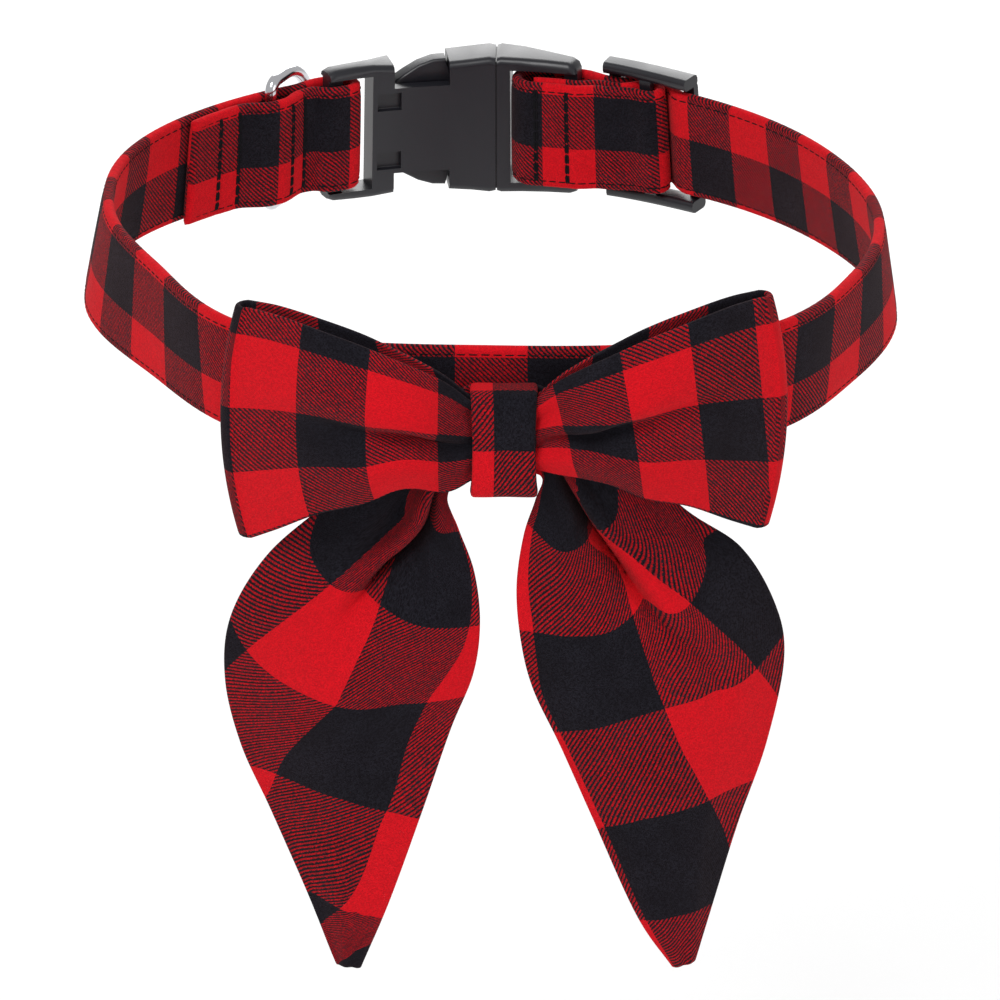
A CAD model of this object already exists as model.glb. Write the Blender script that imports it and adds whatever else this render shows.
# %% [markdown]
# # A checked pet collar with a sailor bow
# The real collar is a strap of brushed cotton twill, sewn in two plies round a stiff tape, with a
# black plastic buckle and slider, a welded ring for a lead, and a bow whose loops and tails are
# doubled cloth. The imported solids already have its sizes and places. This lesson lays finer cloth
# over them, finishes the hardware, and sets up the camera and the light.

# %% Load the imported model
import math

import bmesh
import bpy
import numpy as np
from mathutils import Matrix, Vector


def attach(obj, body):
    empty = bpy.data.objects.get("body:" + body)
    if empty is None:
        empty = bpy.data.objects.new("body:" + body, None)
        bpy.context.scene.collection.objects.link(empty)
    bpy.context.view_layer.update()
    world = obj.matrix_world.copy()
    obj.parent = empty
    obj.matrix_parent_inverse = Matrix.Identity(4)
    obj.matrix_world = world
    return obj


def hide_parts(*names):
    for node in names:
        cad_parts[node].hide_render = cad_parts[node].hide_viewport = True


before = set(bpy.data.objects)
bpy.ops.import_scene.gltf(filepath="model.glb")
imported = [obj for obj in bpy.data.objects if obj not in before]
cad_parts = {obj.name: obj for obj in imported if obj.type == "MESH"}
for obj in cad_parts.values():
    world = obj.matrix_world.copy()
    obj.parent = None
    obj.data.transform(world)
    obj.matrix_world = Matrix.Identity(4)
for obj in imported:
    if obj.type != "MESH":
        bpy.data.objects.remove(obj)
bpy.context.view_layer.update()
millimetre = 0.001

# %% [markdown]
# ## Camera
# The photograph looks down on the collar by a little more than twenty degrees, from far enough away
# that the loop hardly narrows towards the back. The camera is turned by numbers alone, so that it
# stays the same however the scene is made.

# %% Camera at the photograph's angle
camera_target = Vector((2, -90, -19.7)) * millimetre
camera_distance = 1500 * millimetre
camera_elevation = math.radians(22.5)
camera_lens = 261.9

camera = bpy.data.objects.new("camera", bpy.data.cameras.new("camera"))
bpy.context.scene.collection.objects.link(camera)
bpy.context.scene.camera = camera
camera.data.lens = camera_lens
camera.data.clip_end = 20
backwards = Vector((0, -math.cos(camera_elevation), math.sin(camera_elevation)))
camera.location = camera_target + backwards * camera_distance
camera.rotation_euler = (math.pi / 2 - camera_elevation, 0, 0)
print("camera at", [round(v, 3) for v in camera.location])

# %% [markdown]
# ## Curves through tables
# The collar's line and the bow's outlines are short tables whose columns are read as smooth curves.
# The curve passes through each row and takes its slope from the rows on both sides, which is how
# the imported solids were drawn, so the cloth laid over them fits.


# %% Smooth curves and steps
def smooth_curve(places, values, period=0):
    at, value = np.array(places, float), np.array(values, float)
    if period:
        at = np.concatenate([at[-2:] - period, at, at[:2] + period])
        value = np.concatenate([value[-2:], value, value[:2]])
    slope = np.empty_like(value)
    slope[1:-1] = (value[2:] - value[:-2]) / (at[2:] - at[:-2])
    slope[0] = (value[1] - value[0]) / (at[1] - at[0])
    slope[-1] = (value[-1] - value[-2]) / (at[-1] - at[-2])

    def read(place):
        x = np.asarray(place, float)
        if period:
            x = np.mod(x - places[0], period) + places[0]
        i = np.clip(np.searchsorted(at, x, side="right") - 1, 0, len(at) - 2)
        span = at[i + 1] - at[i]
        t = np.clip((x - at[i]) / span, 0, 1)
        a, b, da, db = value[i], value[i + 1], slope[i] * span, slope[i + 1] * span
        return a + t * (da + t * (3 * (b - a) - 2 * da - db + t * (da + db - 2 * (b - a))))

    return read


def ease(t):
    x = np.clip(t, 0, 1)
    return x * x * (3 - 2 * x)


def eased_steps(knots):
    places = np.array([k[0] for k in knots], float)
    values = np.array([k[1] for k in knots], float)

    def read(place):
        x = np.asarray(place, float)
        i = np.clip(np.searchsorted(places, x, side="left") - 1, 0, len(places) - 2)
        share = ease((x - places[i]) / (places[i + 1] - places[i]))
        return values[i] + (values[i + 1] - values[i]) * share

    return read


print("curve through 0, 1, 0 at its middle:", float(smooth_curve([0, 1, 2], [0, 1, 0])(1)))

# %% [markdown]
# ## The line round the neck
# The strap is wider than it is thick and leans a little outwards at its lower edge, as a collar on
# a neck does. Its middle is a closed line, and each place on the strap is given by its distance
# along that line, its height up the strap and its distance outwards.

# %% Neck line
strap_width = 25.4
strap_thickness = 2.6
neck_radius = 86
full_turn = 360
neck_table = np.array([
    # angle, reach as a share of the radius, lean in degrees, lift as a share of the width
    (0, 0.99, 9, -0.03),
    (30, 0.965, 8.5, 0),
    (58, 0.995, 7, -0.01),
    (78, 1.035, 4, 0),
    (105, 1.04, 3.5, 0),
    (128, 1.03, 4, 0.01),
    (152, 1.035, 9, 0),
    (180, 0.985, 11, 0.01),
    (208, 0.94, 2, 0.02),
    (236, 1.015, -5, -0.01),
    (270, 1.0, 0, 0.01),
    (306, 1.08, -5, 0.01),
    (332, 1.01, -2, -0.01),
])
reach_at, lean_at, lift_at = (
    smooth_curve(neck_table[:, 0], neck_table[:, k], full_turn) for k in (1, 2, 3)
)


def neck_point(angle):
    a, r = np.radians(angle), neck_radius * reach_at(angle)
    return np.stack([r * np.cos(a), r * np.sin(a), strap_width * lift_at(angle)], -1)


sample_angles = np.linspace(0, full_turn, 721)
sample_points = neck_point(sample_angles)
sample_steps = np.hypot(*np.diff(sample_points[:, :2], axis=0).T)
sample_arcs = np.concatenate([[0], np.cumsum(sample_steps)])
neck_length = sample_arcs[-1]


def arc_at(angle):
    return float(np.interp(angle, sample_angles, sample_arcs))


def neck_frame(arc):
    angle = np.interp(np.mod(arc, neck_length), sample_arcs, sample_angles)
    along = neck_point(angle + 0.5) - neck_point(angle - 0.5)
    along[..., 2] = 0
    along /= np.linalg.norm(along, axis=-1, keepdims=True)
    flat_out = np.stack([along[..., 1], -along[..., 0], 0 * along[..., 0]], -1)
    lean = np.radians(lean_at(angle))[..., None]
    upright = np.array([0, 0, 1.0])
    up = upright * np.cos(lean) - flat_out * np.sin(lean)
    out = upright * np.sin(lean) + flat_out * np.cos(lean)
    return neck_point(angle), along, up, out


def wrap(arc, up, out):
    middle, _, up_way, out_way = neck_frame(arc)
    return middle + up_way * np.asarray(up)[..., None] + out_way * np.asarray(out)[..., None]


print("neck line:", round(neck_length, 1), "mm round")

# %% [markdown]
# ## The strap's route
# One strip of strap makes the whole collar. It starts at its sewn end, turns round the bar of the
# buckle's socket, goes round the neck, over and under the slider's bars, round the bar of the plug,
# and back to the slider. The route is a list of places along the neck line with the distance
# outwards at each, from the same named sizes as the solids. Only its sewn end runs further than the
# solid's, by 6.5 mm.

# %% Places of the hardware along the line
layer_gap = 0.3
layer_pitch = strap_thickness + layer_gap
socket_length, plug_length = 41.2, 20
socket_bar, plug_bar, bar_depth = 3.6, 3.4, 3.4
slider_length, slider_depth, slider_bar, slider_bar_depth = 22.6, 5.2, 3, 1.6
ring_wire, ring_run, slider_run = 2.8, 17.5, 19
tail_end_run, hidden_end_run = 42, 9
socket_slack, plug_end_wall = 2.2, 3.4

joint_arc = arc_at(96) + (plug_length - socket_length) / 2
socket_bar_arc = joint_arc + socket_length - socket_bar / 2
plug_bar_arc = joint_arc - plug_length + plug_bar / 2
ring_arc = socket_bar_arc + ring_run


def beside_bar(depth):
    return depth / 2 + layer_gap + strap_thickness / 2


beside_buckle = beside_bar(bar_depth)
beside_slider = beside_bar(slider_bar_depth)
beside_ring = beside_bar(ring_wire)
buckle_out = layer_pitch / 2 - beside_buckle
slider_out = beside_slider + slider_bar_depth / 2 - slider_depth / 2
slider_middle_out = slider_out - slider_depth / 2 + slider_bar_depth / 2
print("buckle's bars at", round(socket_bar_arc, 1), "and", round(plug_bar_arc, 1), "mm")

# %% Offsets of the strap's layers
spread = 8
left_outer = eased_steps([
    (-neck_length, buckle_out + beside_buckle),
    (socket_bar / 2, buckle_out + beside_buckle),
    (socket_bar / 2 + spread, 0),
    (neck_length, 0),
])
left_inner = eased_steps([
    (-neck_length, buckle_out - beside_buckle),
    (socket_bar / 2, buckle_out - beside_buckle),
    (socket_bar / 2 + spread / 2, -layer_pitch),
    (ring_run - ring_wire / 2 - spread, -layer_pitch),
    (ring_run - ring_wire / 2, -2 * beside_ring),
    (ring_run + ring_wire / 2, -2 * beside_ring),
    (ring_run + ring_wire / 2 + spread, -layer_pitch),
    (neck_length, -layer_pitch),
])
slider_end_run = (slider_length - slider_bar) / 2
first_bar, last_bar = slider_run - slider_end_run, slider_run + slider_end_run
over_middle = slider_middle_out + beside_slider
right_outer = eased_steps([
    (-neck_length, buckle_out + beside_buckle),
    (plug_bar / 2, buckle_out + beside_buckle),
    (first_bar - slider_bar / 3, 0),
    (first_bar + slider_bar / 3, 0),
    (slider_run - slider_bar / 2, over_middle + layer_pitch),
    (slider_run + slider_bar / 2, over_middle + layer_pitch),
    (last_bar - slider_bar / 3, 0),
    (neck_length, 0),
])
near_plug = eased_steps([
    (-neck_length, buckle_out - beside_buckle),
    (plug_bar / 2, buckle_out - beside_buckle),
    (first_bar - slider_bar / 3, -layer_pitch),
    (neck_length, -layer_pitch),
])
right_inner = eased_steps([
    (-neck_length, buckle_out - beside_buckle - layer_pitch),
    (plug_bar / 2, buckle_out - beside_buckle - layer_pitch),
    (first_bar, -2 * layer_pitch),
    (slider_run - slider_bar / 2, slider_middle_out - beside_slider),
    (neck_length, slider_middle_out - beside_slider),
])


def right_middle(place):
    slope = (right_outer(place + 0.1) - right_outer(place - 0.1)) / 0.2
    past = right_outer(place) - layer_pitch * np.hypot(1, slope)
    return np.where(place < first_bar, near_plug(place), past)


print("slider's bars", round(first_bar, 1), "and", round(last_bar, 1), "mm from the plug's bar")


# %% Route of the strap from end to end
def straight_run(start, end, offset, pitch=1.0):
    arcs = np.linspace(start, end, max(2, round(abs(end - start) / pitch) + 1))
    return np.stack([arcs, offset(arcs) + 0 * arcs], -1)


def half_turn(centre, first, last, side):
    turn = np.linspace(0, np.pi, 13)[1:-1]
    radius, middle = abs(last - first) / 2, (first + last) / 2
    out = middle + np.sign(first - last) * radius * np.cos(turn)
    return np.stack([centre + side * radius * np.sin(turn), out], -1)


ahead = plug_bar_arc + neck_length
slider_ahead = ahead - slider_run
neck_start = socket_bar_arc + tail_end_run
neck_end = slider_ahead - slider_length / 2 - strap_thickness
socket_turn = socket_bar_arc - socket_slack
plug_turn = joint_arc - plug_end_wall - beside_buckle - layer_pitch / 2 - layer_gap
turn_ahead = plug_turn + neck_length - strap_thickness / 2
fold_inside = beside_slider - strap_thickness / 2
slider_turn = slider_ahead - (slider_bar / 2 + 2 * layer_gap - fold_inside)
from_slider_turn = ahead - slider_turn
route = np.concatenate([
    straight_run(neck_start, socket_turn, lambda arc: left_inner(arc - socket_bar_arc)),
    half_turn(socket_turn, left_inner(0), left_outer(0), -1),
    straight_run(socket_turn, neck_start, lambda arc: left_outer(arc - socket_bar_arc)),
    straight_run(neck_start, neck_end, lambda arc: 0, 4)[1:-1],
    straight_run(neck_end, turn_ahead, lambda arc: right_outer(ahead - arc)),
    half_turn(turn_ahead, right_outer(0), right_inner(0), 1),
    straight_run(turn_ahead, slider_turn, lambda arc: right_inner(ahead - arc)),
    half_turn(slider_turn, right_inner(from_slider_turn), right_middle(from_slider_turn), -1),
    straight_run(slider_turn, ahead + hidden_end_run, lambda arc: right_middle(ahead - arc)),
])
route_steps = np.hypot(*np.diff(route, axis=0).T)
route = route[np.concatenate([[True], route_steps > 1e-6])]
route_lengths = np.concatenate([[0], np.cumsum(np.hypot(*np.diff(route, axis=0).T))])
strap_length = route_lengths[-1]
print("strap from end to end:", round(strap_length, 1), "mm")

# %% [markdown]
# ## Skins of cloth
# Each cloth piece starts as one flat grid from the grid operator. Its points are then moved to the
# piece's shape, front and back at once, with its edges rounded where the cloth is turned in. Two UV
# maps go with it: one counts check cells, so that the checks fall where they are on the real piece,
# and one is in millimetres of cloth, so that the threads keep their size.


# %% One skin of cloth from a grid
end_zone = 0.01


def rounded_across(q, share, zone=0.1):
    turn = np.clip(np.minimum(q, 1 - q) / zone, 0, 1) * np.pi / 2
    near = share * (1 - np.cos(turn))
    middle = share + (1 - 2 * share) * np.clip((q - zone) / (1 - 2 * zone), 0, 1)
    across = np.where(q < zone, near, np.where(q > 1 - zone, 1 - near, middle))
    return across, np.sin(turn)


def unit(v):
    return v / np.maximum(np.linalg.norm(v, axis=-1, keepdims=True), 1e-9)


def skin_points(middle, thickness, t, s, edge_share, end_share):
    q, side = 1 - np.abs(1 - 2 * s), np.where(s < 0.5, 1.0, -1.0)
    across, full = rounded_across(q, edge_share)
    along, end = (t, 1.0) if end_share is None else rounded_across(t, end_share, end_zone)
    step = 1e-3
    tangent = middle(along + step, across) - middle(along - step, across)
    width = middle(along, across + step) - middle(along, across - step)
    normal = unit(np.cross(tangent, width))
    half = side * full * end * thickness(along, across, side) / 2
    return middle(along, across) + normal * half[..., None]


def cloth_piece(name, grid, points, checks, threads):
    mesh_points = bmesh.new()
    bmesh.ops.create_grid(mesh_points, x_segments=grid[0], y_segments=grid[1], size=1)
    mesh_points.verts.ensure_lookup_table()
    flat = np.array([v.co[:2] for v in mesh_points.verts])
    t, s = (flat[:, 0] + 1) / 2, (flat[:, 1] + 1) / 2
    for vert, point in zip(mesh_points.verts, points(t, s) * millimetre):
        vert.co = point
    for layer_name, values in (("checks", checks(t, s)), ("threads", threads(t, s))):
        layer = mesh_points.loops.layers.uv.new(layer_name)
        for face in mesh_points.faces:
            for loop in face.loops:
                loop[layer].uv = values[loop.vert.index]
    bmesh.ops.remove_doubles(mesh_points, verts=mesh_points.verts, dist=1e-6)
    bmesh.ops.recalc_face_normals(mesh_points, faces=mesh_points.faces)
    for face in mesh_points.faces:
        face.smooth = True
    mesh = bpy.data.meshes.new(name)
    mesh_points.to_mesh(mesh)
    open_edges = sum(len(e.link_faces) != 2 for e in mesh_points.edges)
    mesh_points.free()
    piece = bpy.data.objects.new(name, mesh)
    bpy.context.scene.collection.objects.link(piece)
    print(name, len(mesh.polygons), "faces, open edges:", open_edges)
    return piece


# %% [markdown]
# ## Building materials
# A material starts from the real one: what it is called and how its surface was made. One function
# adds a node with its settings and links, and one turns an ordinary screen colour into the linear
# values that the renderer mixes.


# %% Helpers for materials
def linear(code):
    parts = [int(code[i : i + 2], 16) / 255 for i in (1, 3, 5)]
    return tuple(c / 12.92 if c <= 0.04045 else ((c + 0.055) / 1.055) ** 2.4 for c in parts) + (1,)


def add_node(tree, kind, inputs=(), **settings):
    node = tree.nodes.new("ShaderNode" + kind)
    for name, value in settings.items():
        setattr(node, name, value)
    for socket, value in dict(inputs).items():
        if isinstance(value, bpy.types.NodeSocket):
            tree.links.new(value, node.inputs[socket])
        else:
            node.inputs[socket].default_value = value
    return node


def new_material(name, **surface):
    material = bpy.data.materials.new(name)
    material.use_nodes = True
    shader = material.node_tree.nodes["Principled BSDF"]
    for socket, value in surface.items():
        shader.inputs[socket.replace("_", " ")].default_value = value
    return material, material.node_tree, shader


def dress(piece, material, body, slot, *nodes):
    piece.data.materials.clear()
    piece.data.materials.append(material)
    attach(piece, body)
    if nodes:
        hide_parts(*nodes)


print("mid grey in linear values:", round(linear("#808080")[0], 3))

# %% [markdown]
# ## Brushed cotton twill in buffalo checks
# Columns are bands of warp threads and rows are bands of weft threads, each red or black. Where a
# red band crosses a black one, a two-by-two twill shows both as fine slanting lines. The shader
# does the same: it finds the colour of the warp and of the weft, and a slanting stripe four
# threads wide chooses which of them lies on top. Black specks and a darker red make these
# crossings as dull as brushed cloth has them.

# %% Brushed twill
thread_pitch = 0.26
twill_repeat = 4 * thread_pitch


def brushed_twill(name, red_code, black_code):
    material, tree, shader = new_material(
        name, Roughness=0.95, Sheen_Weight=0.06, Sheen_Roughness=0.5, Specular_IOR_Level=0.08
    )
    shader.inputs["Sheen Tint"].default_value = linear("#E8B0B0")

    def math_node(operation, first, second=0.0):
        return add_node(tree, "Math", {0: first, 1: second}, operation=operation).outputs[0]

    cells = add_node(tree, "SeparateXYZ", {0: add_node(tree, "UVMap", uv_map="checks").outputs[0]})
    cloth = add_node(tree, "UVMap", uv_map="threads").outputs[0]
    threads = add_node(tree, "SeparateXYZ", {0: cloth})
    warp_red = math_node("LESS_THAN", math_node("FLOORED_MODULO", cells.outputs[0], 2.0), 1.0)
    weft_red = math_node("LESS_THAN", math_node("FLOORED_MODULO", cells.outputs[1], 2.0), 1.0)
    fuzz = add_node(tree, "TexNoise", {"Vector": cloth, "Scale": 2.6, "Detail": 3.0})
    specks = add_node(tree, "TexWhiteNoise", {0: add_node(
        tree, "VectorMath", {0: cloth, 1: (thread_pitch,) * 3}, operation="SNAP"
    ).outputs[0]}, noise_dimensions="2D").outputs[0]
    slant = math_node("ADD", threads.outputs[0], threads.outputs[1])
    slant = math_node("DIVIDE", slant, twill_repeat)
    slant = math_node("ADD", slant, math_node("MULTIPLY", fuzz.outputs[0], 0.45))
    slant = math_node("ADD", slant, math_node("MULTIPLY", specks, 0.16))
    on_top = add_node(tree, "MapRange", {0: math_node("PINGPONG", slant, 0.5), 1: 0.13, 2: 0.4})
    chosen = add_node(tree, "Mix", {0: on_top.outputs[0], 2: warp_red, 3: weft_red})
    crossing = math_node("ABSOLUTE", math_node("SUBTRACT", warp_red, weft_red))
    dots = math_node("MULTIPLY", math_node("MULTIPLY", crossing, specks), 0.45)
    red_share = math_node("SUBTRACT", chosen.outputs[0], dots)

    worn = add_node(tree, "TexNoise", {"Vector": cloth, "Scale": 0.12, "Detail": 4.0}).outputs[0]
    browned = math_node("MULTIPLY", specks, 0.5)
    browned = math_node("ADD", browned, math_node("MULTIPLY", crossing, 0.3))
    red = add_node(tree, "Mix", {
        0: browned, 6: linear(red_code), 7: linear("#8E0F18")
    }, data_type="RGBA")
    black = add_node(tree, "Mix", {
        0: math_node("MULTIPLY", specks, worn), 6: linear(black_code), 7: linear("#26262E")
    }, data_type="RGBA")
    mixed = add_node(tree, "Mix", {
        0: red_share, 6: black.outputs[2], 7: red.outputs[2]
    }, data_type="RGBA")
    tree.links.new(mixed.outputs[2], shader.inputs["Base Color"])

    ridge = math_node("SINE", math_node("MULTIPLY", slant, 4 * math.pi))
    height = math_node("MULTIPLY", ridge, 0.35)
    height = math_node("ADD", height, math_node("MULTIPLY", specks, 0.5))
    height = math_node("ADD", height, fuzz.outputs[0])
    bump = add_node(tree, "Bump", {
        "Height": height, "Strength": 0.55, "Distance": 0.12 * millimetre
    })
    tree.links.new(bump.outputs[0], shader.inputs["Normal"])
    return material


twill = brushed_twill("brushed_cotton_twill", "#D8121E", "#0E0D12")
print("twill repeat:", round(twill_repeat, 2), "mm")

# %% [markdown]
# ## The strap
# The strap is sewn flat, with a row of stitches near each edge that pulls the cloth in a little,
# so it is fullest down its middle. Bar tacks pull it in right across. It is flat webbing, not a
# cushion, so its shape is given directly and no cloth simulation is run: the folds round the bars
# are set by the bars.

# %% Strap shape
route_curve = [lambda s, k=k: np.interp(s, route_lengths, route[:, k]) for k in (0, 1)]
stitch_inset = 1.7
stitch_pitch = 2.5
strap_edge_share, strap_end_share = 0.05, 0.002
fold_length = route_lengths[np.argmax(route[:, 0] < socket_turn + 0.01)]
# distances of the bar tacks from the socket's fold, along the strap
tack_places = [-37.4, -31.4, -17.3, -11.7, 529.2, 537.5]


def strap_middle(t, across):
    length = t * strap_length
    up = (across - 0.5) * strap_width
    return wrap(route_curve[0](length), up, route_curve[1](length))


def strap_depth(t, across, side):
    length = t * strap_length
    from_edge = (0.5 - np.abs(across - 0.5)) * strap_width
    pulled = np.exp(-(((from_edge - stitch_inset) / 0.7) ** 2))
    pucker = 0.07 * np.sin(2 * np.pi * length / stitch_pitch) * np.exp(-from_edge / 3.5)
    tacked = sum(np.exp(-(((length - fold_length - k) / 0.9) ** 2)) for k in tack_places)
    full = 1 - 0.2 * pulled - 0.16 * tacked + 0.06 * np.sin(np.pi * across)
    return strap_thickness * full + pucker


def strap_points(t, s):
    return skin_points(strap_middle, strap_depth, t, s, strap_edge_share, strap_end_share)


# %% Checks on the strap
strap_columns = np.array([
    # distance from the socket's fold along the strap, and the check column: even ones are red
    (-44, -17.5), (-31.4, -17), (-21.4, -16), (-12.4, -15), (0, -14), (19, -13), (30.2, -12.1),
    (82.2, -8), (112.2, -6), (180.2, -2), (225.2, 1), (329.2, 8), (380.2, 11), (409.2, 13),
    (472.2, 18), (511.2, 21.1), (531, 22), (544.5, 23), (560, 24), (592, 26.3),
])
strap_row = 13
strap_row_start = 2.2


def strap_cloth_place(t, s):
    along = rounded_across(t, strap_end_share, end_zone)[0] * strap_length
    q, outside = 1 - np.abs(1 - 2 * s), s < 0.5
    down = (1 - rounded_across(q, strap_edge_share)[0]) * strap_width
    return along, np.where(outside, -down, down)


def strap_checks(t, s):
    along, over_edge = strap_cloth_place(t, s)
    column = np.interp(along - fold_length, strap_columns[:, 0], strap_columns[:, 1])
    return np.stack([column, (over_edge + strap_row_start) / strap_row], -1)


def strap_threads(t, s):
    return np.stack(strap_cloth_place(t, s), -1)


strap = cloth_piece("strap_cloth", (500, 56), strap_points, strap_checks, strap_threads)
dress(strap, twill, "collar", "strap_cloth", "collar_strap")

# %% [markdown]
# ## The bow's loops
# The loops are one ring of doubled cloth, pinched in the middle by the knot. Each wing's front
# swells over a deep crease that starts at the knot and fades outwards, and its back lies behind it
# as a second panel whose upper edge shows. The crease is drawn steeper above than below, because
# the upper lobe hangs over it.

# %% Wing tables
bow_width, bow_height = 116, 51.5
bow_centre = np.array([2.8, 0, -3.8])
bow_tilt = math.radians(1.2)
bow_wall, bow_hollow, bow_cloth = 1.8, 4.5, 1.3
loops_edge_share = 0.014
wing_sweep, wing_lobe, wing_valley, tip_bulge, left_wing_sag = 16, 7, 4.5, 3.5, 3.2
knot_width, knot_height, knot_depth, knot_wall = 13.4, 24.4, 10.4, 1.5
wing_table = np.array([
    # place from knot to tip, top, bottom, part, sweep, lobe, valley
    (0, 0.33, -0.28, 0, 0, 0, 0),
    (0.1, 0.49, -0.3, 0.25, 0, 0.3, 0.5),
    (0.2, 0.6, -0.31, 0.55, 0.02, 0.75, 0.9),
    (0.35, 0.73, -0.37, 0.85, 0.07, 1, 1),
    (0.5, 0.84, -0.5, 1, 0.16, 0.95, 0.8),
    (0.7, 0.93, -0.64, 0.95, 0.38, 0.65, 0.5),
    (0.88, 0.965, -0.87, 0.75, 0.72, 0.3, 0.25),
    (1, 0.95, -1.04, 0.5, 1, 0.1, 0.1),
])
wing_top, wing_bottom, wing_part, wing_back, wing_swell, wing_crease = (
    smooth_curve(wing_table[:, 0], wing_table[:, k]) for k in range(1, 7)
)
crease_row = {
    1: smooth_curve([0, 0.235, 0.386, 0.652, 0.9, 1], [-0.11, -0.12, 0.02, 0.15, 0.19, 0.2]),
    -1: smooth_curve([0, 0.3, 0.6, 1], [-0.12, -0.05, 0.05, 0.15]),
}
strap_front = -neck_radius * float(reach_at(270)) - strap_thickness / 2
knot_y = strap_front - layer_gap - knot_depth / 2
front_in_knot = knot_y - (knot_depth / 2 - knot_wall) + layer_gap + bow_wall / 2
back_in_knot = front_in_knot + bow_wall + layer_gap
print("knot's middle at y", round(knot_y, 2), "mm")


# %% One point of a wing
def wing_point(side, at, row, face):
    tip, place = np.maximum(0, at - 1), np.minimum(1, at)
    part = bow_wall + layer_gap + bow_hollow * wing_part(place)
    span = (bow_width - knot_width) / 2 - tip_bulge - part / 2
    middle = back_in_knot - part / 2 + wing_sweep * wing_back(place)
    turn = np.pi / 2 * (1 - tip)
    swell = wing_lobe * wing_swell(place) * (1 - np.abs(row) ** 2.4)
    off = row - crease_row[side](place)
    pleat = wing_valley * wing_crease(place) * np.exp(-((off / np.where(off > 0, 0.12, 0.3)) ** 2))
    gathers = 0.5 * np.exp(-place / 0.22) * np.sin(row * 9 + side)
    forward = np.where(face > 0, swell - pleat + gathers, 0)
    bulge = tip_bulge * (1 - row * row) * place**4
    x = knot_width / 2 + span * place + part / 2 * np.cos(turn) + bulge
    middle_row = (wing_top(place) + wing_bottom(place)) / 2
    half_row = (wing_top(place) - wing_bottom(place)) / 2
    z = math.tan(bow_tilt) * side * x + bow_height / 2 * (middle_row + half_row * row)
    if side < 0:
        z = z - left_wing_sag * np.exp(-(((place - 0.1) / 0.14) ** 2)) * (1 - row) / 2
    y = middle - face * part / 2 * np.sin(turn) - forward * (1 - tip)
    return np.stack([side * x, y, z], -1) + bow_centre


wing_lap, tip_lap = 51, 4
lap_lengths = np.array(2 * [wing_lap, tip_lap, tip_lap, wing_lap, knot_width])
lap_places = np.concatenate([[0], np.cumsum(lap_lengths)]) / lap_lengths.sum()


def loops_middle(t, across):
    lap = np.interp(np.mod(t, 1), lap_places, np.arange(11))
    row = 2 * across - 1
    legs = [
        (lap < 2, wing_point(1, lap, row, 1)),
        (lap < 4, wing_point(1, 4 - lap, row, -1)),
        (lap < 5, None),
        (lap < 7, wing_point(-1, lap - 5, row, -1)),
        (lap < 9, wing_point(-1, 9 - lap, row, 1)),
    ]
    behind = (lap - 4)[..., None]
    through = (lap - 9)[..., None]
    right_back, left_back = wing_point(1, 0 * lap, row, -1), wing_point(-1, 0 * lap, row, -1)
    right_front, left_front = wing_point(1, 0 * lap, row, 1), wing_point(-1, 0 * lap, row, 1)
    legs[2] = (lap < 5, right_back * (1 - behind) + left_back * behind)
    found = left_front * (1 - through) + right_front * through
    for inside, points in reversed(legs):
        found = np.where(inside[..., None], points, found)
    return found


def loops_points(t, s):
    thickness = lambda along, across, side: bow_cloth + 0 * along
    return skin_points(loops_middle, thickness, t, s, loops_edge_share, None)


# %% Checks on the loops
wing_run = (bow_width - knot_width) / 2
row_places = ([0, 0.11, 0.425, 0.703, 0.982, 1], [-0.35, 0, 1, 2, 3, 3.1])
# the first column line and the width of a cell on each wing, as shares of the wing's run
right_line, right_cell = 0.12, 0.262
left_line, left_cell = 0.142, 0.275


def loops_cloth(t, s):
    lap = np.interp(t, lap_places, np.arange(11))
    across = rounded_across(1 - np.abs(1 - 2 * s), loops_edge_share)[0]
    row = 2 * across - 1
    side = np.where(lap < 4.5, 1, -1)
    x = np.abs(loops_middle(t, across)[..., 0] - bow_centre[0]) - knot_width / 2
    lap_out = np.where(side > 0, lap, np.where(lap < 9, 9 - lap, 0))
    behind = np.clip(lap_out - 1, 0, 2) * tip_lap + np.clip(lap_out - 3, 0, 1) * wing_run
    out = np.where(lap_out < 1.5, x, wing_run + behind)
    return side, out, row


def loops_checks(t, s):
    side, out, row = loops_cloth(t, s)
    place = out / wing_run
    right = (place + 0.05 * row - right_line) / right_cell + 1
    bowed = row**2 * place * np.where(row > 0, 0.15, 0.27)
    left = (place - left_line) / left_cell + bowed
    return np.stack([np.where(side > 0, right, left), np.interp((1 - row) / 2, *row_places)], -1)


def loops_threads(t, s):
    side, out, row = loops_cloth(t, s)
    return np.stack([side * out, bow_height * (row - 1) / 2], -1)


loops = cloth_piece("bow_loops_cloth", (260, 96), loops_points, loops_checks, loops_threads)
dress(loops, twill, "collar", "bow_cloth", "bow_loops")

# %% [markdown]
# ## The knot
# A short band of the same cloth goes once round the middle of the bow and holds the loops and tails
# together. It is drawn tight over them, so its front is nearly flat and its corners are round.


# %% Knot
knot_settle, knot_edge_share = 1.8, 0.05
knot_cell_width, knot_cell_height = 12.5, 11.6
knot_line_left, knot_line_below = 2.2, 0.3


def knot_middle(t, across):
    a = 2 * np.pi * t
    square = (np.abs(np.cos(a)) ** 4 + np.abs(np.sin(a)) ** 4) ** -0.25
    y = knot_y + (knot_depth - knot_wall) / 2 * square * np.cos(a)
    z = (knot_height - knot_wall) / 2 * square * np.sin(a)
    z -= knot_settle * (0.8 + 0.2 * np.sin(a))
    pinch = 1 - 0.04 * np.cos(2 * a)
    x = (across - 0.5) * knot_width * pinch
    crease = 0.25 * np.sin(across * 9) * np.abs(np.cos(a))
    return np.stack([bow_centre[0] + x, y + crease * np.sign(np.cos(a)), z + bow_centre[2]], -1)


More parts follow.
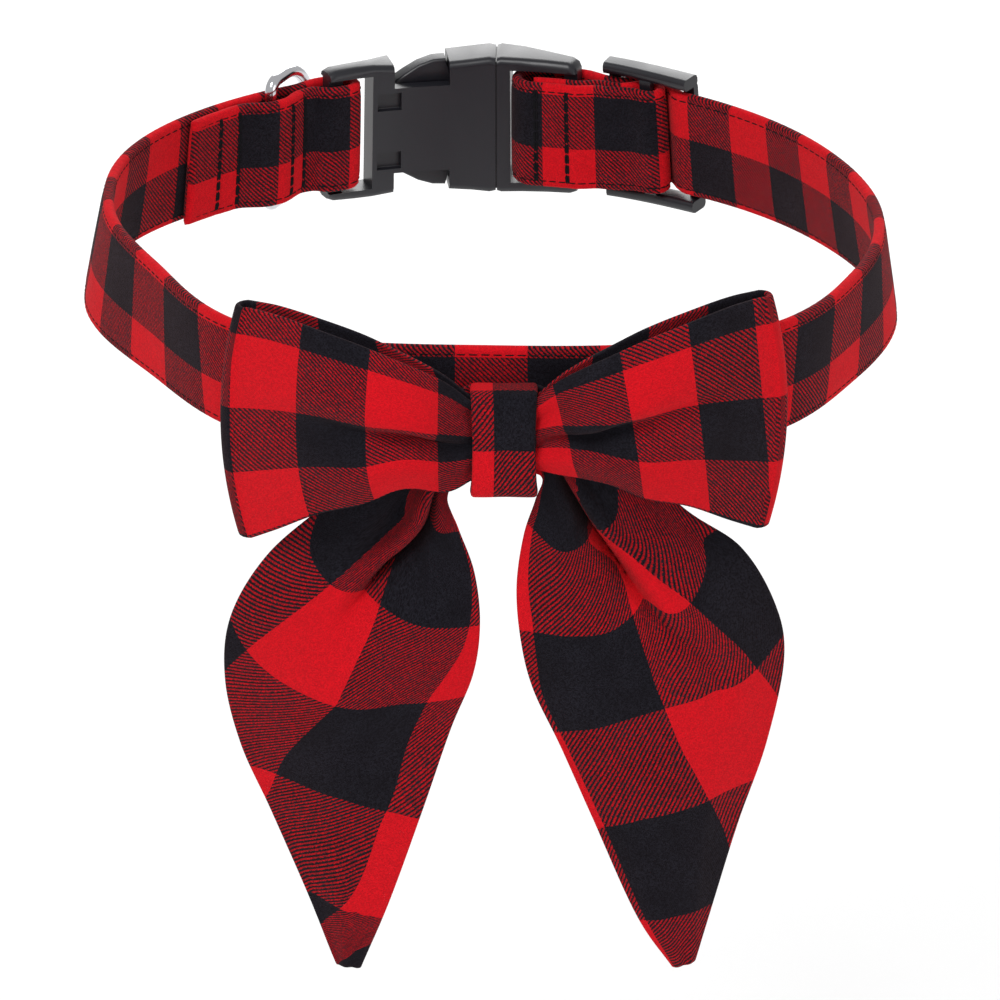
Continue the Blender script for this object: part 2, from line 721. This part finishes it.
def knot_points(t, s):
    thickness = lambda along, across, side: knot_wall + 0 * along
    return skin_points(knot_middle, thickness, t, s, knot_edge_share, None)


knot_round = 2 * (knot_height + knot_depth) - 9


def knot_threads(t, s):
    across = rounded_across(1 - np.abs(1 - 2 * s), knot_edge_share)[0]
    front_down = (t - 0.5) * knot_round
    return np.stack([(across - 0.5) * knot_width, front_down], -1)


def knot_checks(t, s):
    cloth = knot_threads(t, s)
    column = (cloth[:, 0] + knot_line_left) / knot_cell_width - 1
    return np.stack([column, (cloth[:, 1] - knot_line_below) / knot_cell_height + 2], -1)


knot = cloth_piece("knot_cloth", (120, 48), knot_points, knot_checks, knot_threads)
dress(knot, twill, "collar", "bow_cloth", "knot_band")

# %% [markdown]
# ## The tails
# Each tail is a doubled piece of cloth cut to a point. It leaves the knot folded, opens over a
# deep pleat, and swells forwards where it hangs free. Its edges come from a table in shares of its
# spread and drop, and a second table gives the ridge and depth of its fold. Two more say where the
# lines between the check cells cross it, so that the checks bend with the cloth.

# %% Tail tables
tail_drop, tail_spread, tail_wall = 126.5, 58, 1.8
tail_cup, tail_pleat, tail_sweep = 6, 5, 15
tail_in_knot = back_in_knot + bow_wall / 2 + layer_gap + tail_wall / 2
left_tail_table = np.array([
    # place from knot to point, outer edge x and z, inner edge x and z, cup, pleat
    (0, 0.01, 0.07, 0.01, -0.07, 0, 0),
    (0.08, 0.14, 0.075, 0.14, -0.08, 0, 0),
    (0.2, 0.38, -0.03, 0.2, -0.12, 0, 0.2),
    (0.3, 0.64, -0.15, 0.16, -0.175, 0, 0.5),
    (0.4, 0.85, -0.255, 0.105, -0.25, 0.3, 0.9),
    (0.5, 0.985, -0.375, 0.085, -0.34, 0.8, 0.5),
    (0.6, 1.01, -0.49, 0.11, -0.43, 1, 0.15),
    (0.7, 0.955, -0.605, 0.19, -0.53, 0.9, 0),
    (0.8, 0.845, -0.715, 0.29, -0.675, 0.7, 0),
    (0.9, 0.71, -0.86, 0.42, -0.855, 0.4, 0),
    (1, 0.61, -0.985, 0.53, -0.985, 0.1, 0),
])
right_tail_table = np.array([
    (0, 0.01, 0.07, 0.01, -0.07, 0, 0),
    (0.08, 0.14, 0.075, 0.13, -0.08, 0, 0),
    (0.2, 0.38, -0.03, 0.11, -0.125, 0, 0.2),
    (0.3, 0.65, -0.16, 0.07, -0.185, 0, 0.5),
    (0.4, 0.85, -0.24, 0.045, -0.275, 0.3, 0.9),
    (0.5, 0.975, -0.35, 0.06, -0.37, 0.8, 0.5),
    (0.6, 1.015, -0.455, 0.105, -0.46, 1, 0.15),
    (0.7, 0.955, -0.6, 0.205, -0.565, 0.9, 0),
    (0.8, 0.855, -0.735, 0.32, -0.695, 0.7, 0),
    (0.9, 0.765, -0.875, 0.485, -0.885, 0.4, 0),
    (1, 0.695, -0.985, 0.62, -0.99, 0.1, 0),
])
left_fold_table = np.array([
    # place from knot to point, place of the fold's ridge across the tail, depth of the fold
    (0, 0.5, 0), (0.12, 0.64, 0.6), (0.2, 0.74, 1), (0.297, 0.725, 1), (0.355, 0.645, 0.95),
    (0.4, 0.55, 0.75), (0.44, 0.47, 0.4), (0.5, 0.4, 0.05), (0.6, 0.4, 0), (1, 0.4, 0),
])
right_fold_table = np.array([
    (0, 0.5, 0), (0.12, 0.56, 0.6), (0.2, 0.58, 1), (0.283, 0.57, 1), (0.352, 0.535, 1),
    (0.413, 0.49, 0.85), (0.45, 0.45, 0.55), (0.52, 0.36, 0.3), (0.615, 0.235, 0.2),
    (0.68, 0.2, 0), (1, 0.2, 0),
])
left_column_lines = np.array([
    # place from knot to point, and where column lines -1, 0, 1 and 2 cross the tail there
    (0, -0.4, 0.3, 0.7, 1.05), (0.25, -0.25, 0.53, 0.76, 1), (0.297, -0.15, 0.605, 0.74, 0.995),
    (0.343, -0.2, 0.535, 0.695, 0.99), (0.375, -0.25, 0.475, 0.65, 0.985),
    (0.432, -0.35, 0.355, 0.605, 0.975), (0.5, -0.45, 0.2, 0.57, 0.955),
    (0.547, -0.55, 0.095, 0.53, 0.93), (0.6, -0.8, -0.02, 0.48, 0.87),
    (0.625, -0.9, -0.08, 0.45, 0.84), (0.7, -1.2, -0.35, 0.24, 0.8), (0.8, -1.6, -0.9, -0.1, 0.74),
    (0.9, -3, -2, -1, 0.42), (1, -4, -3, -2, -1),
])
left_row_lines = np.array([
    # place across the tail, and where row lines -1 to 3 cross it on the way down
    (0, 0.165, 0.305, 0.5, 0.73, 0.89), (0.095, 0.18, 0.345, 0.547, 0.735, 0.89),
    (0.2, 0.2, 0.39, 0.58, 0.745, 0.895), (0.355, 0.23, 0.432, 0.608, 0.76, 0.9),
    (0.49, 0.14, 0.445, 0.625, 0.77, 0.905), (0.59, 0.13, 0.465, 0.63, 0.78, 0.905),
    (0.72, 0.15, 0.488, 0.628, 0.79, 0.91), (0.8, 0.297, 0.496, 0.632, 0.795, 0.91),
    (1, 0.305, 0.503, 0.64, 0.81, 0.915),
])
right_column_lines = np.array([
    # as for the left tail, with column lines 4, 3, 2 and 1
    (0, -0.4, 0.3, 0.6, 0.9), (0.25, -0.1, 0.56, 0.585, 0.94), (0.283, -0.1, 0.56, 0.59, 0.95),
    (0.31, -0.12, 0.54, 0.625, 0.95), (0.343, -0.15, 0.495, 0.65, 0.95),
    (0.41, -0.2, 0.41, 0.57, 0.945), (0.463, -0.25, 0.31, 0.55, 0.94),
    (0.55, -0.35, 0.19, 0.53, 0.95), (0.61, -0.45, 0.1, 0.505, 0.965),
    (0.7, -0.7, -0.15, 0.396, 0.96), (0.8, -1.2, -0.5, 0.12, 0.93), (0.9, -2, -1.2, -0.3, 0.89),
    (1, -3, -2, -1, 0.84),
])
right_row_lines = np.array([
    # as for the left tail, with row lines -1 to 4
    (0, 0.03, 0.165, 0.352, 0.56, 0.745, 0.9), (0.115, 0.04, 0.21, 0.37, 0.6, 0.75, 0.9),
    (0.195, 0.05, 0.235, 0.42, 0.612, 0.755, 0.9), (0.31, 0.06, 0.265, 0.463, 0.618, 0.765, 0.9),
    (0.39, 0.065, 0.288, 0.47, 0.622, 0.77, 0.9), (0.465, 0.07, 0.303, 0.455, 0.626, 0.775, 0.9),
    (0.55, 0.075, 0.312, 0.475, 0.632, 0.78, 0.9), (0.65, 0.08, 0.338, 0.492, 0.64, 0.785, 0.9),
    (0.79, 0.085, 0.343, 0.49, 0.655, 0.795, 0.9), (0.94, 0.09, 0.29, 0.482, 0.668, 0.805, 0.9),
    (1, 0.1, 0.27, 0.48, 0.675, 0.81, 0.9),
])
tail_cell = 21.75
tail_cloth = 1.3
tail_edge_share, tail_end_share = 0.015, 0.004
fold_depth, fold_breadth = 6.5, 0.055


# %% Shape of a tail
def cells_between(lines, place, across, first):
    """Count check cells up to a place, from where the lines cross at this distance across."""
    crossings = [smooth_curve(lines[:, 0], lines[:, k])(across) for k in range(1, lines.shape[1])]
    count = first + 0 * place
    for k, (near, far) in enumerate(zip(crossings, crossings[1:])):
        inside = (place > near) | (k == 0)
        count = np.where(inside, first + k + (place - near) / (far - near), count)
    return count


def make_tail(name, side, table, fold, column_lines, row_lines, node):
    out_x, out_z, in_x, in_z, cup_at, pleat_at = (
        smooth_curve(table[:, 0], table[:, k]) for k in range(1, 7)
    )
    fold_at, fold_share = (smooth_curve(fold[:, 0], fold[:, k]) for k in (1, 2))

    def middle(t, across):
        share = out_x(t) * (1 - across) + in_x(t) * across
        drop = out_z(t) * (1 - across) + in_z(t) * across
        cup = tail_cup * cup_at(t) * np.sin(np.pi * np.clip(across, 0, 1))
        pleat = tail_pleat * pleat_at(t) * np.exp(-(((across - 0.55) / 0.16) ** 2))
        from_ridge = (across - fold_at(t)) / fold_breadth
        ridge = 0.45 * np.exp(-(((from_ridge + 0.8) / 1.3) ** 2))
        valley = np.exp(-(((from_ridge - 0.9) / 0.85) ** 2))
        tucked = fold_depth * fold_share(t) * (valley - ridge)
        soft = 0.45 * np.sin(11 * t + 6 * across + side) * np.sin(7 * across - 9 * t)
        y = tail_in_knot + tail_sweep * share * share - cup + pleat + tucked
        y = y + soft * ease(3 * t - 0.3)
        x = bow_centre[0] + side * share * tail_spread
        return np.stack([x, y, bow_centre[2] + tail_drop * drop], -1)

    def points(t, s):
        thickness = lambda along, across, face: tail_cloth + 0 * along
        return skin_points(middle, thickness, t, s, tail_edge_share, tail_end_share)

    def checks(t, s):
        across = rounded_across(1 - np.abs(1 - 2 * s), tail_edge_share)[0]
        if side < 0:
            column = cells_between(column_lines, across, t, -1)
        else:
            column = -cells_between(column_lines, across, t, -4)
        return np.stack([column, cells_between(row_lines, t, across, -1)], -1)

    piece = cloth_piece(name, (200, 150), points, checks, lambda t, s: checks(t, s) * tail_cell)
    dress(piece, twill, "collar", "bow_cloth", node)
    return piece


left_tail = make_tail(
    "tail_left_cloth", -1, left_tail_table, left_fold_table,
    left_column_lines, left_row_lines, "tail_left",
)
right_tail = make_tail(
    "tail_right_cloth", 1, right_tail_table, right_fold_table,
    right_column_lines, right_row_lines, "tail_right",
)

# %% [markdown]
# ## Plastic hardware
# Side-release buckles and sliders are injection moulded from acetal, a hard plastic with a satin
# skin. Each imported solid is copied, its loose triangles are merged into faces, and its sharp edges
# get the small radius that a mould leaves.

# %% Moulded acetal
acetal, acetal_tree, acetal_shader = new_material(
    "moulded_acetal", Roughness=0.34, IOR=1.48, Specular_IOR_Level=0.5
)
acetal_shader.inputs["Base Color"].default_value = linear("#1A1A20")
acetal_place = add_node(acetal_tree, "TexCoord").outputs["Object"]
acetal_grain = add_node(
    acetal_tree, "TexNoise", {"Vector": acetal_place, "Scale": 2500.0, "Detail": 2.0}
)
acetal_bump = add_node(acetal_tree, "Bump", {
    "Height": acetal_grain.outputs[0], "Strength": 0.25, "Distance": 0.05 * millimetre
})
acetal_tree.links.new(acetal_bump.outputs[0], acetal_shader.inputs["Normal"])
acetal_flow = add_node(
    acetal_tree, "TexNoise", {"Vector": acetal_place, "Scale": 90.0, "Detail": 3.0}
)
acetal_rough = add_node(acetal_tree, "MapRange", {0: acetal_flow.outputs[0], 3: 0.28, 4: 0.42})
acetal_tree.links.new(acetal_rough.outputs[0], acetal_shader.inputs["Roughness"])


# %% Copy a moulding and round its edges
def moulded_piece(node, name):
    shape = bmesh.new()
    shape.from_mesh(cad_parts[node].data)
    bmesh.ops.remove_doubles(shape, verts=shape.verts, dist=2e-6)
    bmesh.ops.dissolve_limit(
        shape, angle_limit=math.radians(1), verts=shape.verts, edges=shape.edges
    )
    for face in shape.faces:
        face.smooth = True
    mesh = bpy.data.meshes.new(name)
    shape.to_mesh(mesh)
    shape.free()
    piece = bpy.data.objects.new(name, mesh)
    bpy.context.scene.collection.objects.link(piece)
    bevel = piece.modifiers.new("mould radius", "BEVEL")
    bevel.width, bevel.segments = 0.3 * millimetre, 2
    bevel.limit_method, bevel.angle_limit = "ANGLE", math.radians(50)
    piece.modifiers.new("even normals", "WEIGHTED_NORMAL")
    dress(piece, acetal, "collar", "black_plastic", node)
    print(name, len(mesh.polygons), "faces before its edges are rounded")
    return piece


for hardware_node in ("buckle_socket", "buckle_plug", "slider"):
    moulded_piece(hardware_node, hardware_node + "_moulding")

# %% [markdown]
# ## The plug's shoulder
# The plug has a shoulder that stands a little way into the socket's mouth. The solids leave it out,
# so here a thin curved block lies inside both halves and keeps light from coming through the joint.

# %% The plug's shoulder in the socket's mouth
slot_clearance, rail_width = 1.1, 2.4
buckle_depth, frame_depth = 11, 5.6
shoulder_half_length, side_inset, face_inset = 0.9, 0.6, 1
buckle_half_width = strap_width / 2 + slot_clearance + rail_width
shoulder_reach = np.array([
    shoulder_half_length, buckle_half_width - side_inset, buckle_depth / 2 - face_inset
])
shoulder_out = buckle_out - frame_depth / 2 + buckle_depth / 2
shoulder_shape = bmesh.new()
bmesh.ops.create_cube(shoulder_shape, size=2)
bmesh.ops.subdivide_edges(shoulder_shape, edges=shoulder_shape.edges, cuts=4, use_grid_fill=True)
for vert in shoulder_shape.verts:
    arc, up, out = np.array(vert.co) * shoulder_reach
    vert.co = wrap(np.array([joint_arc + arc]), [up], [shoulder_out + out])[0] * millimetre
bmesh.ops.recalc_face_normals(shoulder_shape, faces=shoulder_shape.faces)
shoulder_mesh = bpy.data.meshes.new("plug_shoulder")
shoulder_shape.to_mesh(shoulder_mesh)
shoulder_shape.free()
shoulder = bpy.data.objects.new("plug_shoulder", shoulder_mesh)
bpy.context.scene.collection.objects.link(shoulder)
dress(shoulder, acetal, "collar", "black_plastic")
print("shoulder reaches", shoulder_reach.round(2), "mm each way")

# %% [markdown]
# ## The ring
# The ring is steel wire bent to a D, welded in the middle of its straight side, and nickel plated.
# The weld is hidden in the strap's pocket. It is a round section carried once round the outline.

# %% Plated wire
plating, plating_tree, plating_shader = new_material("nickel_plated_wire", Metallic=1.0)
plating_shader.inputs["Base Color"].default_value = linear("#D6D6DA")
plating_place = add_node(plating_tree, "TexCoord").outputs["Object"]
plating_haze = add_node(
    plating_tree, "TexNoise", {"Vector": plating_place, "Scale": 400.0, "Detail": 3.0}
)
plating_rough = add_node(plating_tree, "MapRange", {0: plating_haze.outputs[0], 3: 0.08, 4: 0.2})
plating_tree.links.new(plating_rough.outputs[0], plating_shader.inputs["Roughness"])

# %% Ring shape
ring_reach, ring_straight, ring_clearance, ring_swing = 21, 6.5, 1, math.radians(63)
ring_up, ring_out_way, ring_along = (
    neck_frame(np.array([ring_arc]))[k][0] for k in (2, 3, 1)
)
ring_centre = wrap(np.array([ring_arc]), ring_clearance - layer_gap, -beside_ring)[0]
ring_way = ring_out_way * math.cos(ring_swing) - ring_along * math.sin(ring_swing)
ring_half = strap_width / 2 + ring_clearance + ring_wire / 2
ring_corner = ring_wire * 0.9
ring_bow = ring_reach - ring_wire / 2 - ring_straight
corner_turn = np.linspace(0, np.pi / 2, 9)
corner_x = ring_corner * (1 - np.sin(corner_turn))
corner_z = ring_half - ring_corner * (1 - np.cos(corner_turn))
bow_turn = np.linspace(-np.pi / 2, np.pi / 2, 49)
ring_outline = np.concatenate([
    np.stack([corner_x, -corner_z], -1)[::-1],
    np.stack([ring_straight + ring_bow * np.cos(bow_turn), ring_half * np.sin(bow_turn)], -1),
    np.stack([corner_x, corner_z], -1),
])
ring_outline = np.concatenate([ring_outline, ring_outline[:1]])
ring_lengths = np.concatenate([[0], np.cumsum(np.hypot(*np.diff(ring_outline, axis=0).T))])


def ring_line(t):
    length = np.mod(t, 1) * ring_lengths[-1]
    reach, up = (np.interp(length, ring_lengths, ring_outline[:, k]) for k in (0, 1))
    return ring_centre + ring_way * reach[..., None] + ring_up * up[..., None]


def ring_points(t, s):
    heading = unit(ring_line(t + 0.004) - ring_line(t - 0.004))
    across = np.cross(ring_way, ring_up)
    side = np.cross(heading, across)
    turn = 2 * np.pi * s[..., None]
    return ring_line(t) + ring_wire / 2 * (side * np.cos(turn) + across * np.sin(turn))


ring = cloth_piece(
    "ring_wire", (160, 20), ring_points,
    lambda t, s: np.stack([t, s], -1), lambda t, s: np.stack([t, s], -1),
)
dress(ring, plating, "ring", "ring_metal", "d_ring")

# %% [markdown]
# ## Stitches
# The strap is lockstitched along both edges with black polyester thread. Each line of stitching is
# one thin thread that rises over the cloth and dives into it at every needle hole, so that what
# shows is a row of short rounded stitches. Bar tacks, which are pairs of thicker rows right across
# the strap, hold its layers together beside the hardware.

# %% Sewing thread
thread_black, _, thread_shader = new_material(
    "polyester_thread", Roughness=0.8, Specular_IOR_Level=0.15
)
thread_shader.inputs["Base Color"].default_value = linear("#0C0B0F")


def strap_surface(length, up, side):
    t, across = length / strap_length, up / strap_width + 0.5
    step = 1e-3
    tangent = strap_middle(t + step, across) - strap_middle(t - step, across)
    width = strap_middle(t, across + step) - strap_middle(t, across - step)
    normal = unit(np.cross(tangent, width))
    depth = strap_depth(t, across, side) / 2
    facing = normal * side[..., None]
    return strap_middle(t, across) + facing * depth[..., None], facing


def stitch_line(name, start, end, side, thread_radius=0.15):
    """A row of stitches from (length, up) to (length, up) on one face of the strap."""
    run = math.hypot(end[0] - start[0], end[1] - start[1])
    count = max(1, round(run / stitch_pitch))

    def line(t):
        share = np.clip(t, 0, 1)
        length = start[0] + (end[0] - start[0]) * share
        up = start[1] + (end[1] - start[1]) * share
        point, normal = strap_surface(length, up, np.full_like(share, side))
        rise = 0.05 - 0.4 * np.abs(np.cos(np.pi * share * count)) ** 16
        return point + normal * rise[..., None], normal

    def points(t, s):
        centre, normal = line(t)
        ahead_way = unit(line(t + 2e-4)[0] - line(t - 2e-4)[0])
        across = np.cross(ahead_way, normal)
        turn = 2 * np.pi * s[..., None]
        radius = thread_radius * np.sqrt(np.clip(1 - (2 * t - 1) ** 40, 0, 1))[..., None]
        return centre + radius * (normal * np.cos(turn) + across * np.sin(turn))

    flat = lambda t, s: np.stack([t * run, s], -1)
    piece = cloth_piece(name, (count * 8, 6), points, flat, flat)
    dress(piece, thread_black, "collar", "strap_cloth")
    return piece


edge_line, end_inset = strap_width / 2 - stitch_inset, 1.5
for side_name, side in (("outer", 1), ("inner", -1)):
    for edge_name, up in (("upper", edge_line), ("lower", -edge_line)):
        stitch_line(
            f"stitches_{side_name}_{edge_name}",
            (end_inset, up), (strap_length - end_inset, up), side,
        )

# %% Bar tacks across the strap
tack_reach, tack_row, tack_radius = strap_width / 2 - 1.2, 0.28, 0.3
for number, place in enumerate(tack_places):
    for row_name, row in (("near", -tack_row), ("far", tack_row)):
        length = fold_length + place + row
        stitch_line(
            f"bar_tack_{number}_{row_name}",
            (length, -tack_reach), (length, tack_reach), 1, tack_radius,
        )

# %% [markdown]
# ## Floor and light
# The collar hangs as on a neck, so the pale floor is far below it and takes no shadow near it. A
# white surround and large soft lamps give the even light of a catalogue photograph. The lamp from
# the upper left keeps the folds' shading, and the one behind catches the upper edges.

# %% Floor
floor_depth = 0.3
floor_mesh = bmesh.new()
bmesh.ops.create_grid(floor_mesh, x_segments=1, y_segments=1, size=12)
floor_data = bpy.data.meshes.new("floor")
floor_mesh.to_mesh(floor_data)
floor_mesh.free()
floor_data.transform(Matrix.Translation((0, 0, -floor_depth)))
floor = bpy.data.objects.new("floor", floor_data)
bpy.context.scene.collection.objects.link(floor)
paper, _, paper_shader = new_material("backdrop_paper", Roughness=0.9)
paper_shader.inputs["Base Color"].default_value = linear("#FBFBFB")
floor_data.materials.append(paper)


# %% Lamps and surround
def lamp(name, place, size, power):
    data = bpy.data.lights.new(name, "AREA")
    data.shape, data.size, data.energy = "DISK", size, power
    light = bpy.data.objects.new(name, data)
    bpy.context.scene.collection.objects.link(light)
    light.location = place
    aim = Vector((0, 0, 0)) - light.location
    light.rotation_euler = aim.to_track_quat("-Z", "Y").to_euler()
    return light


lamp("key_lamp", (-0.5, -0.9, 1.3), 0.7, 14)
lamp("fill_lamp", (1.1, -1.0, 0.3), 1.0, 3.5)
lamp("back_lamp", (0, 1.7, 0.72), 1.3, 15)
world = bpy.data.worlds.new("white_surround")
bpy.context.scene.world = world
world.use_nodes = True
surround = world.node_tree.nodes["Background"]
surround.inputs["Color"].default_value = (1, 1, 1, 1)
surround.inputs["Strength"].default_value = 0.56
bpy.context.scene.view_settings.view_transform = "Standard"
